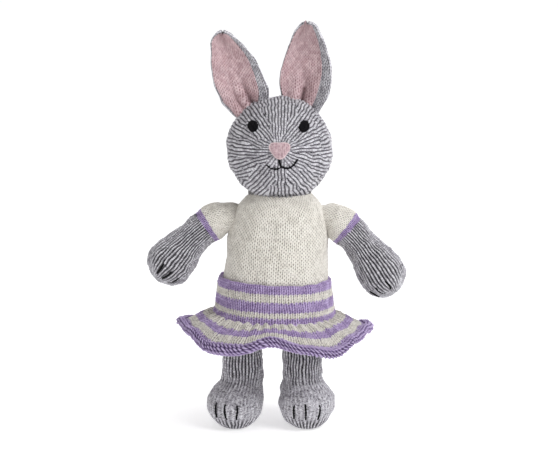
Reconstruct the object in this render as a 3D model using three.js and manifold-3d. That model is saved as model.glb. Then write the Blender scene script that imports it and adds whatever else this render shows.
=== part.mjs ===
// A knitted rabbit toy: stuffed head, body, arms and legs, two long lined ears and a gathered,
// striped skirt with a rolled hem. Millimetres, +Z up. The toy faces -Y and stands on its soles
// at z = 0. Its own right side is at -X.
import * as THREE from "three";
import { mergeVertices } from "three/addons/utils/BufferGeometryUtils.js";
import Module from "manifold-3d";

const wasm = await Module();
wasm.setup();

// ---------------------------------------------------------------- driving dimensions
const WALL = 2.5; // thickness of one knitted layer
const GAP = 0.3; // air between pieces that touch
const FILL = WALL + GAP; // depth of the stuffing below the outside of the knitting
const THREAD = 1.1; // radius of an embroidery thread

const HEAD = { x: 3.9, z: 243, wide: 44.7, high: 44, deep: 0.95 };
const MUZZLE = { z: 234, out: 3.5, spread: 17 };
const NECK = { x: 3.9, z: 222, ball: 30, socket: 33.2 }; // the head nods and turns about this point
const NECK_SEAM = { radius: 21, z: 198.6, thread: 1.1 };

const TORSO_DEEP = 0.86; // depth of the body over its width
const SHOULDER = { right: [-38.5, 183.5], left: [43, 182], ball: 14, socket: 15 };
const PAW = 20;
const ARM_LOWERED = 5; // degrees that an arm can drop from its resting slant
const ARM_RAISED = 60; // degrees that it can be lifted
const ARM_BACK = 40; // degrees that it can swing back
const ARM_AHEAD = 75; // degrees that it can swing forward

const HIP = { right: [-28.4, 17.2, -6.4], left: [23.7, 16.8, 4], z: 80 }; // x, radius, foot shift
const FOOT = { radius: 24.4, longer: 1.18, forward: 4 };

const EAR_HINGE_Z = 291;
const EAR = { thick: 3.4, cup: 5, back: -50, forward: 60 };

const YOKE = { top: 132, bottom: 104, topRadius: 48, bottomRadius: 54 };
const FRILL = { top: 103.5, start: 51, hem: 81, hemZ: 87, thick: 3, roll: 4.6 };
const SKIRT = { x: -0.4, deepTop: 0.86, deepHem: 0.9, lobes: 5, lobe: 3 };
const HANG = { wave: 5.5, side: 3.7, low: 1.5, back: 9 }; // how far the hem rises or drops
const FLAP_Y = -44.5; // the front of the skirt lifts ahead of this plane

const GREY = 0xa6a4a7;
const CREAM = 0xe6e1d6;
const LILAC = 0xa390bf;
const PINK = 0xd3b0b6;
const BLACK = 0x161618;
const WHITE = 0xf2f1ee;

// ---------------------------------------------------------------- small helpers
const vec2 = (x, y) => new THREE.Vector2(x, y);
const vec3 = (x, y, z) => new THREE.Vector3(x, y, z);
const smooth = (low, high, value) => THREE.MathUtils.smoothstep(value, low, high);
const mix = THREE.MathUtils.lerp;
const radians = THREE.MathUtils.degToRad;

// Joins equal corners, drops flat triangles and turns the faces outwards.
function closed(geometry) {
  const bare = new THREE.BufferGeometry();
  bare.setAttribute("position", geometry.attributes.position);
  if (geometry.index) bare.setIndex(geometry.index);
  const merged = mergeVertices(bare, 1e-3);
  const index = merged.index.array;
  const kept = [];
  for (let i = 0; i < index.length; i += 3) {
    const [a, b, c] = index.slice(i, i + 3);
    if (a !== b && b !== c && c !== a) kept.push(a, b, c);
  }
  if (volume(merged, kept) < 0) kept.reverse();
  merged.setIndex(kept);
  return merged;
}

function volume(geometry, index) {
  const corner = [vec3(0, 0, 0), vec3(0, 0, 0), vec3(0, 0, 0)];
  let total = 0;
  for (let i = 0; i < index.length; i += 3) {
    corner.forEach((point, k) => point.fromBufferAttribute(geometry.attributes.position, index[i + k]));
    total += corner[0].dot(corner[1].clone().cross(corner[2])) / 6;
  }
  return total;
}

function toManifold(geometry) {
  const mesh = closed(geometry);
  const vertProperties = new Float32Array(mesh.attributes.position.array);
  const triVerts = new Uint32Array(mesh.index.array);
  return new wasm.Manifold(new wasm.Mesh({ numProp: 3, vertProperties, triVerts }));
}

function toGeometry(manifold) {
  const mesh = manifold.getMesh();
  const geometry = new THREE.BufferGeometry();
  geometry.setAttribute("position", new THREE.BufferAttribute(mesh.vertProperties, 3));
  geometry.setIndex(new THREE.BufferAttribute(mesh.triVerts, 1));
  return geometry;
}

// Takes each cutter out of a shape.
function cut(geometry, ...cutters) {
  let rest = toManifold(geometry);
  for (const cutter of cutters) rest = rest.subtract(toManifold(cutter));
  return toGeometry(rest);
}

function keep(geometry, region) {
  return toGeometry(toManifold(geometry).intersect(toManifold(region)));
}

function join(geometry, ...others) {
  let whole = toManifold(geometry);
  for (const other of others) whole = whole.add(toManifold(other));
  return toGeometry(whole);
}

// A ball, or a flattened one when radii differ.
function ball(x, y, z, rx, ry = rx, rz = rx, segments = 16) {
  const geometry = new THREE.SphereGeometry(1, segments, Math.round(segments * 0.6));
  geometry.rotateX(Math.PI / 2);
  return geometry.scale(rx, ry, rz).translate(x, y, z);
}

// A round thread through the given points.
function thread(points, radius, sides = 6) {
  const path = new THREE.CatmullRomCurve3(points);
  const section = new THREE.Shape();
  section.absarc(0, 0, radius, 0, 2 * Math.PI, false);
  const steps = points.length + 1;
  const curveSegments = sides / 2;
  const options = { steps, curveSegments, extrudePath: path, bevelEnabled: false };
  return new THREE.ExtrudeGeometry(section, options);
}

// ---------------------------------------------------------------- turned and bent solids
// A profile runs from the low end of a limb or body to its high end: x is the radius and y the height.
function inset(profile, depth) {
  return profile.map((point, i) => {
    const before = profile[Math.max(i - 1, 0)];
    const after = profile[Math.min(i + 1, profile.length - 1)];
    const along = after.clone().sub(before).normalize();
    if (point.x === 0) return vec2(0, point.y + Math.sign(i - 0.5) * -depth);
    return vec2(Math.max(point.x - depth * along.y, 0.4), point.y + depth * along.x);
  });
}

// Turns a profile about its axis, then bends it: bend(side, front, height) gives the place.
function turned(profile, bend, segments = 20) {
  const geometry = new THREE.LatheGeometry(profile, segments);
  const position = geometry.attributes.position;
  for (let i = 0; i < position.count; i += 1) {
    const place = bend(position.getX(i), position.getZ(i), position.getY(i));
    position.setXYZ(i, place.x, place.y, place.z);
  }
  return closed(geometry);
}

// A knitted layer over the stretch of profile between two of its points, open where it stops.
function knitted(profile, first, last, bend, segments) {
  const outer = profile.slice(first, last + 1);
  const inner = inset(profile, WALL).slice(first, last + 1).reverse();
  return turned([...outer, ...inner, outer[0]], bend, segments);
}

function stuffed(profile, bend, segments, depth = FILL) {
  return turned(inset(profile, depth), bend, segments);
}

// ---------------------------------------------------------------- the scene
const rabbit = new THREE.Group();

function add(name, geometry, color, roughness = 0.95) {
  const material = new THREE.MeshStandardMaterial({ color, roughness, metalness: 0 });
  const mesh = new THREE.Mesh(closed(geometry), material);
  mesh.name = name;
  rabbit.add(mesh);
}

// ---------------------------------------------------------------- head
// The underside is a ball about the neck point, so the head can nod and turn in the body's socket.
function headProfile() {
  const neckRim = 61;
  const points = [];
  for (const angle of [0, 24, 38, 50, neckRim]) {
    const turn = radians(angle);
    points.push(vec2(NECK.ball * Math.sin(turn), NECK.z - NECK.ball * Math.cos(turn)));
  }
  for (let angle = -40; angle <= 90; angle += 13) {
    const turn = radians(angle);
    const radius = angle === 90 ? 0 : HEAD.wide * Math.cos(turn);
    points.push(vec2(radius, HEAD.z + HEAD.high * Math.sin(turn)));
  }
  points[0].x = 0;
  return points;
}

function bendHead(side, front, height) {
  const deep = mix(1, HEAD.deep, smooth(205, 235, height));
  const facing = smooth(0, HEAD.wide, front);
  const reach = Math.hypot(side, height - MUZZLE.z) / MUZZLE.spread;
  const muzzle = MUZZLE.out * facing * Math.exp(-reach * reach);
  return vec3(HEAD.x + side, -front * deep - muzzle, height);
}

const headOutline = headProfile();
const headTop = headOutline.length - 1;
const HEAD_SEGMENTS = 20;
const headSkin = stuffed(headOutline, bendHead, HEAD_SEGMENTS, -GAP);

// The place on the front of the head at a given side and height.
function onFace(x, z, out = 0) {
  const level = (z - HEAD.z) / HEAD.high;
  const side = x - HEAD.x;
  const round = HEAD.wide * Math.sqrt(1 - level * level);
  const front = Math.sqrt(Math.max(round * round - side * side, 0));
  const place = bendHead(side, front, z);
  return place.add(vec3(0, -out, 0));
}

function makeHead() {
  add("head_cover", knitted(headOutline, 1, headTop, bendHead, HEAD_SEGMENTS), GREY);
  add("head_stuffing", stuffed(headOutline, bendHead, HEAD_SEGMENTS, FILL + GAP), WHITE);
  makeEye("right_eye", -18.1);
  makeEye("left_eye", 24.1);
  makeNose();
  makeMouth();
}

const EYE = { z: 264.6, wide: 4.4, high: 4.9, thick: 2.2 };
function makeEye(name, x) {
  const place = onFace(x, EYE.z);
  const eye = ball(0, 0, 0, EYE.wide, EYE.thick, EYE.high, 14);
  eye.rotateX(radians(-24)).rotateZ(radians((x - HEAD.x) * 1.2));
  eye.translate(place.x, place.y, place.z);
  add(name, cut(eye, headSkin), BLACK);
}

const NOSE_Z = 247;
function makeNose() {
  const half = 8.2;
  const outline = new THREE.Shape();
  outline.moveTo(-half * 0.6, 5.6);
  outline.quadraticCurveTo(0, 6.4, half * 0.6, 5.6);
  outline.quadraticCurveTo(half * 1.1, 3.6, half, 1);
  outline.quadraticCurveTo(half * 0.5, -5, 0, -7.6);
  outline.quadraticCurveTo(-half * 0.5, -5, -half, 1);
  outline.quadraticCurveTo(-half * 1.1, 3.6, -half * 0.6, 5.6);
  const pad = new THREE.ExtrudeGeometry(outline, { depth: 9, bevelEnabled: false, curveSegments: 4 });
  pad.rotateX(Math.PI / 2).translate(HEAD.x, 0, NOSE_Z);
  const face = onFace(HEAD.x, NOSE_Z);
  pad.translate(0, face.y + 7, 0);
  add("nose", cut(pad, headSkin), PINK, 0.7);
}

function makeMouth() {
  const low = 231.4;
  const centre = onFace(5, low, 0.4);
  const philtrum = [onFace(3.2, 238.4, 0.4), onFace(3.8, 234.8, 0.4), centre];
  const right = [centre, onFace(-1, 229.4, 0.4), onFace(-6.9, 231.8, 0.4)];
  const left = [centre, onFace(12.5, 230.2, 0.4), onFace(18.5, 236.3, 0.4)];
  const lines = [right, left].map((line) => thread(line, THREAD * 0.8));
  add("mouth_stitch", cut(join(thread(philtrum, THREAD * 0.8), ...lines), headSkin), BLACK);
}

// ---------------------------------------------------------------- ears
// Each station of an ear is its height, the middle of its width and half its width.
const RIGHT_EAR = [
  [268, -26, 13],
  [282, -25, 20],
  [293, -28, 23.4],
  [304, -31.2, 23.6],
  [315, -34, 21],
  [328, -38, 17],
  [336, -41.2, 11.5],
  [342.5, -42.6, 4],
];
const LEFT_EAR = [
  [270, 26, 11],
  [281, 25, 18],
  [293, 24.5, 21.6],
  [307, 25.4, 22.3],
  [322, 24.6, 19.8],
  [334, 25, 16.2],
  [341.5, 26, 10.5],
  [348.5, 26.8, 4],
];

function earPlate(stations, front) {
  const middle = new THREE.SplineCurve(stations.map(([z, x]) => vec2(z, x)));
  const width = new THREE.SplineCurve(stations.map(([z, , half]) => vec2(z, half)));
  const plate = new THREE.BoxGeometry(2, 1, 1, 6, 9, 1);
  const position = plate.attributes.position;
  for (let i = 0; i < position.count; i += 1) {
    const across = position.getX(i);
    const up = position.getY(i) + 0.5;
    const layer = position.getZ(i) + 0.5;
    const at = middle.getPoint(up);
    const half = width.getPoint(up).y;
    const thick = EAR.thick * (1 - 0.6 * across * across);
    const depth = (GAP / 2 + layer * thick) * (front ? -1 : 1);
    position.setXYZ(i, at.y + across * half, depth - EAR.cup * across * across * smooth(0, 0.4, up), at.x);
  }
  return plate;
}

// The head as the ear meets it while the ear flops back and forward about its hinge.
const EAR_STEPS = 10;
const headPastEar = Array.from({ length: EAR_STEPS + 1 }, (_, step) => {
  const angle = EAR.back + (step / EAR_STEPS) * (EAR.forward - EAR.back);
  const head = stuffed(headOutline, bendHead, HEAD_SEGMENTS, -2 * GAP);
  head.translate(0, 0, -EAR_HINGE_Z).rotateX(radians(-angle)).translate(0, 0, EAR_HINGE_Z);
  return head;
});

function makeEar(side, stations) {
  add(`${side}_ear_back`, cut(earPlate(stations, false), ...headPastEar), GREY);
  add(`${side}_ear_lining`, cut(earPlate(stations, true), ...headPastEar), PINK);
}

// ---------------------------------------------------------------- arms
// An arm's profile is measured along its curved middle line, from the shoulder point.
const ARM_SPANS = { sleeve: 18, band: 22.6 };
const ARM_SEGMENTS = 14;
const FILL_START = 6; // the profile point where an arm's stuffing begins, just past the shoulder wad

function armProfile(length) {
  const points = [];
  for (const angle of [0, 34, 52, 71, 90]) {
    const turn = radians(angle);
    points.push(vec2(SHOULDER.ball * Math.sin(turn), -SHOULDER.ball * Math.cos(turn)));
  }
  points[0].x = 0;
  const { sleeve, band } = ARM_SPANS;
  const tipStart = length - PAW * 0.95;
  const steps = [6, 12, sleeve, sleeve + GAP, band, band + GAP, 34, 45, 56, tipStart];
  for (const height of steps) {
    points.push(vec2(mix(SHOULDER.ball, PAW, smooth(34, tipStart, height)), height));
  }
  for (const angle of [30, 50, 70, 90]) {
    const turn = radians(angle);
    const radius = angle === 90 ? 0 : PAW * Math.cos(turn);
    points.push(vec2(radius, mix(tipStart, length, Math.sin(turn))));
  }
  return points;
}

// An arm's middle line leaves the shoulder nearly level and ends slanting down and out.
function armCurve([x, z], elbow, wrist, tip) {
  const ends = [vec3(x, 0, z), vec3(tip[0], -7, tip[1])];
  const between = [vec3(elbow[0], 0, elbow[1]), vec3(wrist[0], -3, wrist[1])];
  return new THREE.CubicBezierCurve3(ends[0], ...between, ends[1]);
}

// Bends a straight limb along its middle line.
function alongCurve(curve) {
  const length = curve.getLength();
  return (side, front, height) => {
    const at = THREE.MathUtils.clamp(height / length, 0, 1);
    const tangent = curve.getTangentAt(at);
    const place = curve.getPointAt(at).addScaledVector(tangent, height - at * length);
    const ahead = vec3(0, -1, 0).addScaledVector(tangent, tangent.y).normalize();
    const across = ahead.clone().cross(tangent);
    return place.addScaledVector(across, side).addScaledVector(ahead, front);
  };
}

const ARMS = {
  right: armCurve(SHOULDER.right, [-58.5, 180], [-84.8, 149.4], [-102.3, 131.5]),
  left: armCurve(SHOULDER.left, [61, 180], [85.5, 142.5], [103.7, 120]),
};

function makeArm(side) {
  const curve = ARMS[side];
  const bend = alongCurve(curve);
  const outline = armProfile(curve.getLength());
  const tip = outline.length - 1;
  const [x, z] = SHOULDER[side];
  add(`${side}_sleeve`, knitted(outline, 1, 7, bend, ARM_SEGMENTS), CREAM);
  add(`${side}_cuff_band`, knitted(outline, 8, 9, bend, ARM_SEGMENTS), LILAC);
  add(`${side}_paw_cover`, knitted(outline, 10, tip, bend, ARM_SEGMENTS), GREY);
  const wad = ball(x, 0, z, SHOULDER.ball - FILL - 0.4, undefined, undefined, 12);
  add(`${side}_shoulder_wad`, wad, WHITE);
  const fill = inset(outline, FILL).slice(FILL_START);
  add(`${side}_arm_stuffing`, turned([vec2(0, fill[0].y), ...fill], bend, ARM_SEGMENTS), WHITE);
  makeClaws(side, bend, curve.getLength(), outline);
}

// Three short thread lines over the end of a paw, at these angles round it from its front.
const CLAW_TURNS = { right: [-14, 13, 40], left: [-2, -31, -60] };
const CLAW_REACH = [3.5, 9, 13.5];
function makeClaws(side, bend, length, outline) {
  const skin = stuffed(outline, bend, ARM_SEGMENTS, -GAP);
  const end = PAW * 0.95;
  ["outer", "middle", "inner"].forEach((which, i) => {
    const turn = radians(CLAW_TURNS[side][i]);
    const points = CLAW_REACH.map((along) => {
      const radius = PAW * Math.sqrt(1 - (along / end) ** 2) + 0.5;
      return bend(radius * Math.sin(turn), radius * Math.cos(turn), length - end + along);
    });
    add(`${side}_${which}_finger_stitch`, cut(thread(points, THREAD), skin), BLACK);
  });
}

function shoulderRoom(side, radius) {
  const [x, z] = SHOULDER[side];
  return ball(x, 0, z, radius, undefined, undefined, 14);
}

// The arm at rest, lowered, swung both ways while lowered, and swung ahead while raised: the body's
// cover clears them all.
function armRooms(side) {
  const curve = ARMS[side];
  const [x, z] = SHOULDER[side];
  const down = side === "left" ? ARM_LOWERED : -ARM_LOWERED;
  const raised = side === "left" ? -ARM_RAISED : ARM_RAISED;
  const lowered = [0, ARM_BACK / 2, ARM_BACK, -ARM_AHEAD].map((back) => [down, back]);
  const turns = [[0, 0], ...lowered, [raised, -ARM_AHEAD]];
  return turns.map(([drop, back]) => {
    const arm = stuffed(armProfile(curve.getLength()), alongCurve(curve), ARM_SEGMENTS, -2 * GAP);
    arm.translate(-x, 0, -z).rotateY(radians(drop)).rotateX(radians(back));
    return arm.translate(x, 0, z);
  });
}

// ---------------------------------------------------------------- body
const TORSO_SEGMENTS = 20;
// Half width and height, from the middle of the seat up to the neck.
const TORSO_STATIONS = [
  [0, 98.6],
  [20, 98.9],
  [33, 103],
  [41, 113],
  [44.2, 128],
  [44, 148],
  [42.6, 167],
  [38.6, 183],
  [32, 195],
  [27, 203],
];

function torsoProfile() {
  const curve = new THREE.SplineCurve(TORSO_STATIONS.map(([radius, height]) => vec2(radius, height)));
  const points = curve.getSpacedPoints(11);
  points[0].x = 0;
  points.push(vec2(0, 204));
  return points;
}

function bendTorso(side, front, height) {
  const deep = mix(TORSO_DEEP, 1, smooth(185, 205, height));
  const lean = mix(0, NECK.x, smooth(120, 200, height));
  return vec3(lean + side, -front * deep, height);
}

function makeTorso() {
  const outline = torsoProfile();
  const rim = outline.length - 2;
  const neckRoom = ball(NECK.x, 0, NECK.z, NECK.socket, undefined, undefined, 20);
  const sockets = (radius) => [neckRoom, shoulderRoom("right", radius), shoulderRoom("left", radius)];
  const armPaths = [...armRooms("right"), ...armRooms("left")];
  const cover = knitted(outline, 0, rim, bendTorso, TORSO_SEGMENTS);
  const filling = stuffed(outline, bendTorso, TORSO_SEGMENTS);
  add("torso_cover", cut(cover, ...sockets(SHOULDER.socket), ...armPaths), CREAM);
  add("torso_stuffing", cut(filling, ...sockets(SHOULDER.socket + WALL)), WHITE);
  const seam = new THREE.TorusGeometry(NECK_SEAM.radius, NECK_SEAM.thread, 5, 20);
  add("neck_seam", seam.translate(NECK.x, 0, NECK_SEAM.z), CREAM);
}

// ---------------------------------------------------------------- skirt
// Waves grow from nothing at the gathers to their full size at the hem.
function bendSkirt(side, front, height) {
  const radius = Math.hypot(side, front);
  const angle = Math.atan2(side, front);
  const flare = THREE.MathUtils.clamp((radius - FRILL.start) / (FRILL.hem - FRILL.start), 0, 1.2);
  const wave = -Math.cos(SKIRT.lobes * angle) * flare;
  const facing = Math.cos(angle);
  const behind = smooth(-0.1, 1, -facing);
  const out = 1 + (SKIRT.lobe * wave * (1 - 2 * behind)) / radius;
  const deep = mix(SKIRT.deepTop, SKIRT.deepHem, flare);
  const hang = flare * (HANG.side * Math.sin(angle) ** 4 - HANG.low - HANG.back * behind);
  const rise = hang - HANG.wave * wave * facing ** 2;
  return vec3(SKIRT.x + side * out, -front * out * deep, height + rise);
}

function makeSkirt() {
  const { top, bottom, topRadius, bottomRadius } = YOKE;
  const yoke = [vec2(bottomRadius, bottom), vec2(51.4, bottom + 8), vec2(48.8, 122), vec2(topRadius, top)];
  const lining = yoke.map((point) => vec2(point.x - WALL, point.y)).reverse();
  const straight = (side, front, height) => vec3(SKIRT.x + side, -front * SKIRT.deepTop, height);
  add("skirt_yoke", turned([...yoke, ...lining, yoke[0]], straight, 28), CREAM);

  const edge = FRILL.hem - FRILL.roll - GAP;
  const over = [];
  for (let step = 0; step <= 4; step += 1) {
    const part = step / 4;
    over.push(vec2(mix(FRILL.start, edge, part), mix(FRILL.top, FRILL.hemZ + 1.5, part ** 1.25)));
  }
  const under = over.map((point) => vec2(point.x, point.y - FRILL.thick)).reverse();
  const frill = turned([...over, ...under, over[0]], bendSkirt, 36);
  const hem = [];
  for (let side = 0; side <= 8; side += 1) {
    const turn = (side % 8) * (Math.PI / 4);
    hem.push(vec2(FRILL.hem + FRILL.roll * Math.cos(turn), FRILL.hemZ + FRILL.roll * Math.sin(turn)));
  }
  const rolledHem = turned(hem, bendSkirt, 36);
  const ahead = new THREE.BoxGeometry(300, 100, 100).translate(0, FLAP_Y - 50, 100);
  const behind = new THREE.BoxGeometry(300, 200, 100).translate(0, FLAP_Y + GAP + 100, 100);
  add("skirt_frill_front", keep(frill, ahead), CREAM);
  add("skirt_frill_back", keep(frill, behind), CREAM);
  add("skirt_hem_front", keep(rolledHem, ahead), LILAC);
  add("skirt_hem_back", keep(rolledHem, behind), LILAC);
}

// ---------------------------------------------------------------- legs
const LEG_SEGMENTS = 16;

// A leg's profile runs down from the hip point to the flat sole.
function legProfile(radius) {
  const points = [];
  for (const angle of [0, 30, 50, 70, 90]) {
    const turn = radians(angle);
    points.push(vec2(radius * Math.sin(turn), -radius * Math.cos(turn)));
  }
  points[0].x = 0;
  for (const height of [13, 26, 36]) points.push(vec2(radius + height * 0.01, height));
  const big = FOOT.radius;
  const foot = [
    [big - 4.4, 43],
    [big - 1.2, 49],
    [big, 56],
    [big - 0.6, 64],
    [big - 3.6, 71],
    [big - 8.6, 77],
    [13.5, 79.6],
    [12, HIP.z],
  ];
  for (const [width, height] of foot) points.push(vec2(width, height));
  points.push(vec2(0, HIP.z));
  return points;
}

function bendLeg(x, shift) {
  return (side, front, height) => {
    const foot = smooth(34, 56, height);
    const ahead = front * mix(1, FOOT.longer, foot) + FOOT.forward * foot;
    return vec3(x + side + shift * foot, -ahead, HIP.z - height);
  };
}

// Three thread lines over the front of a foot, at these angles round it, and their reach and height.
const TOE_TURNS = { right: [-42, -20, 5], left: [24, -3, -29] };
const TOE_LINE = [[24.6, 54], [24.6, 61], [22.6, 68]];

function makeLeg(side) {
  const [x, radius, shift] = HIP[side];
  const bend = bendLeg(x, shift);
  const outline = legProfile(radius);
  const sole = outline.length - 1;
  add(`${side}_leg_cover`, knitted(outline, 1, sole, bend, LEG_SEGMENTS), GREY);
  add(`${side}_leg_stuffing`, stuffed(outline, bend, LEG_SEGMENTS), WHITE);
  const skin = stuffed(outline, bend, LEG_SEGMENTS, -GAP);
  ["outer", "middle", "inner"].forEach((which, i) => {
    const turn = radians(TOE_TURNS[side][i]);
    const points = TOE_LINE.map(([reach, height]) => {
      return bend(reach * Math.sin(turn), reach * Math.cos(turn), height);
    });
    add(`${side}_${which}_toe_stitch`, cut(thread(points, THREAD), skin), BLACK);
  });
}

makeHead();
makeEar("right", RIGHT_EAR);
makeEar("left", LEFT_EAR);
makeTorso();
makeArm("right");
makeArm("left");
makeSkirt();
makeLeg("right");
makeLeg("left");

export default rabbit;
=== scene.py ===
"""The look of a knitted rabbit toy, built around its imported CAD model.

Every knitted cover is a grid of real stockinette stitches: two slanting legs of yarn to a stitch,
raised from a smooth stuffed form. Lengths are in millimetres until a mesh is made, then in metres.
The toy faces -Y, and its own right is -X.
"""

import math
from typing import NamedTuple

import bpy
import numpy as np
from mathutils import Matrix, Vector
from mathutils.bvhtree import BVHTree


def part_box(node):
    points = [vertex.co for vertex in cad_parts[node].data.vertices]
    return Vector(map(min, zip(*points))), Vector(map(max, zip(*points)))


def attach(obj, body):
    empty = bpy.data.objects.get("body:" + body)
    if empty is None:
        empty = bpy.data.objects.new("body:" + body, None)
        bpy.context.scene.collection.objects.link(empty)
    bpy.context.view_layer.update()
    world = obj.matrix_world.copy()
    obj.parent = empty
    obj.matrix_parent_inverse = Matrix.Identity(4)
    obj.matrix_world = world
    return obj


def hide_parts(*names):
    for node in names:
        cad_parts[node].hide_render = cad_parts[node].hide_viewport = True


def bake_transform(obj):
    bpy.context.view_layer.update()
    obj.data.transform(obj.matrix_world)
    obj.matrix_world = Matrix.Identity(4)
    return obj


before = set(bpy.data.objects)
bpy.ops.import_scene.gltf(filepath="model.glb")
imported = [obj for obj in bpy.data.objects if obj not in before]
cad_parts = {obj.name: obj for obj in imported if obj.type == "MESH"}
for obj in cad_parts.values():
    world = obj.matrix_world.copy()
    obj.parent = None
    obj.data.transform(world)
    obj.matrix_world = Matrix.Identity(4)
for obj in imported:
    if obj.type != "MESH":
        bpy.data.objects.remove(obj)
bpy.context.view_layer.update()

MM = 0.001
FULL_TURN = 2 * math.pi
WHITE = (1.0, 1.0, 1.0, 1.0)


def shown(name, data):
    """An object with this mesh, light or camera, in the scene."""
    made = bpy.data.objects.new(name, data)
    bpy.context.scene.collection.objects.link(made)
    return made


# ---------- camera
def make_camera():
    target = Vector((0.0034, 0.0, 0.167))
    distance = 1.1
    tilt = math.radians(10.0)
    data = bpy.data.cameras.new("camera")
    data.lens = 82.5
    data.sensor_width = 36.0
    camera = shown("camera", data)
    camera.location = target + distance * Vector((0.0, -math.cos(tilt), math.sin(tilt)))
    camera.rotation_euler = (math.pi / 2 - tilt, 0.0, 0.0)
    bpy.context.scene.camera = camera


make_camera()


# ---------- small helpers
def box_mm(node):
    """The middle of a CAD node and half its size, in millimetres."""
    low, high = (np.array(corner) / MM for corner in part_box(node))
    return (low + high) / 2, (high - low) / 2


def mix(start, end, share):
    return start + (end - start) * share


def smooth(low, high, value):
    """0 below low, 1 above high, and a smooth step between them."""
    share = np.clip((value - low) / (high - low), 0.0, 1.0)
    return share * share * (3 - 2 * share)


def lumps(points, size, seed):
    """Smooth noise, mostly between -1 and 1, with lumps of about the given size."""
    rng = np.random.default_rng(seed)
    total = np.zeros(points.shape[:-1])
    waves = 12
    for _ in range(waves):
        direction = rng.normal(size=3)
        direction /= np.linalg.norm(direction)
        pitch = rng.uniform(0.6, 1.7) * FULL_TURN / size
        total += np.sin(points @ direction * pitch + rng.uniform(0, FULL_TURN))
    return total / math.sqrt(waves)


def scatter(*indices):
    """A number from 0 to 1 that looks random but depends only on whole-number indices."""
    total = np.zeros_like(indices[0], dtype=float)
    for index, weight in zip(indices, (12.9898, 78.233, 37.719)):
        total = total + index * weight
    value = np.sin(total) * 43758.5453
    return value - np.floor(value)


def unit(vectors):
    """The same directions with length 1."""
    return vectors / np.maximum(np.linalg.norm(vectors, axis=-1, keepdims=True), 1e-12)


def distance_along(line):
    """How far along a line each of its points lies."""
    return np.concatenate([[0], np.cumsum(np.linalg.norm(np.diff(line, axis=0), axis=1))])


def at_share(line, share):
    """Each coordinate of a line of evenly spaced points, at a share of the way along it."""
    level = np.linspace(0, 1, len(line))
    return [np.interp(share, level, column) for column in line.T]


def spline(stations, count):
    """Points evenly spaced along a smooth line through the stations."""
    stations = np.array(stations, float)
    padded = np.vstack([2 * stations[0] - stations[1], stations, 2 * stations[-1] - stations[-2]])
    fine = []
    for i in range(1, len(padded) - 2):
        before, start, end, after = padded[i - 1 : i + 3]
        for t in np.linspace(0, 1, 24, endpoint=False):
            bend = (2 * before - 5 * start + 4 * end - after) * t * t
            bend = bend + (3 * start - before - 3 * end + after) * t ** 3
            fine.append(0.5 * (2 * start + (end - before) * t + bend))
    fine.append(stations[-1])
    fine = np.array(fine)
    along = distance_along(fine)
    places = np.linspace(0, along[-1], count)
    return np.stack([np.interp(places, along, column) for column in fine.T], axis=1)


# ---------- meshes
def grid_quads(rows, columns, wrap):
    """The faces of a grid of points numbered row by row. A wrapped grid closes on itself."""
    across = columns if wrap else columns - 1
    row, column = np.meshgrid(np.arange(rows - 1), np.arange(across), indexing="ij")
    beside = (column + 1) % columns
    corners = [row * columns + column, row * columns + beside]
    corners += [(row + 1) * columns + beside, (row + 1) * columns + column]
    return np.stack(corners, axis=-1).reshape(-1, 4)


def fan(ring, hub):
    """Triangles from a ring of points to one point."""
    return np.stack([ring, np.roll(ring, -1), np.full_like(ring, hub)], axis=-1)


def signed_volume(points, quads, triangles):
    halves = [quads[:, (0, 1, 2)], quads[:, (0, 2, 3)], triangles]
    a, b, c = (points[corner] for corner in np.vstack(halves).T)
    return np.einsum("ij,ij->", a, np.cross(b, c))


def summed(numbers, vectors, count):
    """For each number below count, the sum of the vectors that belong to it."""
    sums = [np.bincount(numbers, column, minlength=count) for column in vectors.T]
    return np.stack(sums, axis=1)


def point_normals(points, quads, triangles):
    """A face's normal is from a square's diagonals, or from two sides of a triangle."""
    normal = np.zeros_like(points)
    for faces, spans in ((quads, ((0, 2), (1, 3))), (triangles, ((0, 1), (0, 2)))):
        first, second = (points[faces[:, end]] - points[faces[:, start]] for start, end in spans)
        face_normal = np.cross(first, second)
        for corner in faces.T:
            normal += summed(corner, face_normal, len(points))
    return unit(normal)


class Form:
    """A closed surface in millimetres: points, square faces, triangles and values at its points."""

    def __init__(self, points, quads, triangles=None):
        self.points = np.asarray(points, float).reshape(-1, 3)
        self.quads = np.asarray(quads, int).reshape(-1, 4)
        self.triangles = np.zeros((0, 3), int) if triangles is None else np.asarray(triangles, int)
        self.values = {}
        if signed_volume(self.points, self.quads, self.triangles) < 0:
            self.quads = self.quads[:, ::-1]
            self.triangles = self.triangles[:, ::-1]

    def raised(self, height):
        """Moves each point outward by its own height."""
        normals = point_normals(self.points, self.quads, self.triangles)
        self.points = self.points + normals * height[:, None]

    def soften(self, rounds=1):
        """Evens the points out, to take a facet or a pole's pinch away."""
        pairs = [self.quads[:, [k, (k + 1) % 4]] for k in range(4)]
        pairs += [self.triangles[:, [k, (k + 1) % 3]] for k in range(3)]
        here, beside = np.vstack(pairs + [pair[:, ::-1] for pair in pairs]).T
        number = np.bincount(here, minlength=len(self.points))
        for _ in range(rounds):
            total = summed(here, self.points[beside], len(self.points))
            self.points = 0.5 * self.points + 0.5 * total / np.maximum(number, 1)[:, None]


def joined(forms):
    """Several plain forms as one."""
    starts = np.cumsum([0] + [len(form.points) for form in forms])
    quads = [form.quads + start for form, start in zip(forms, starts)]
    triangles = [form.triangles + start for form, start in zip(forms, starts)]
    points = [form.points for form in forms]
    return Form(np.vstack(points), np.vstack(quads), np.vstack(triangles))


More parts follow.
